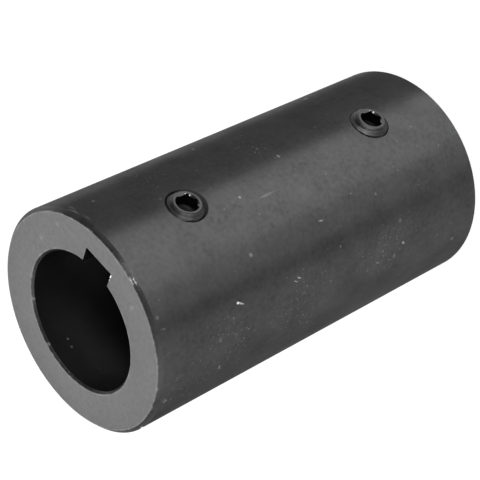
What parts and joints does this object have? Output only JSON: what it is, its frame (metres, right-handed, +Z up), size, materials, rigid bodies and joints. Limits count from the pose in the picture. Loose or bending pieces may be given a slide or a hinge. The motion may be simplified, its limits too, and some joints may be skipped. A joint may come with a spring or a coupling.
{
  "type": "rigid shaft coupling",
  "caption": "Solid steel sleeve that joins shafts end to end: plain through bore, full-length keyway, and cup-point set screws with hexagon sockets over the keyway.",
  "frame": {"origin": "on the bore's axis, in the plane of the lower end face that the sleeve stands on", "axes": "+Z up along the bore, the keyway and both set screws face -Y"},
  "size_m": [0.045, 0.0462, 0.088],
  "materials": {
    "sleeve_steel": "turned and blackened, satin",
    "screw_steel": "black oxide, slightly oily"
  },
  "bodies": {
    "sleeve": {"sleeve": "sleeve_steel"},
    "upper_set_screw": {"upper_set_screw": "screw_steel"},
    "lower_set_screw": {"lower_set_screw": "screw_steel"}
  },
  "joints": [
    {"name": "upper_screw_travel", "type": "slide", "parent": "sleeve", "child": "upper_set_screw", "axis": [0, 1, 0], "range_m": [-0.0025, 0.0025]},
    {"name": "lower_screw_travel", "type": "slide", "parent": "sleeve", "child": "lower_set_screw", "axis": [0, 1, 0], "range_m": [-0.00125, 0.00375]}
  ]
}
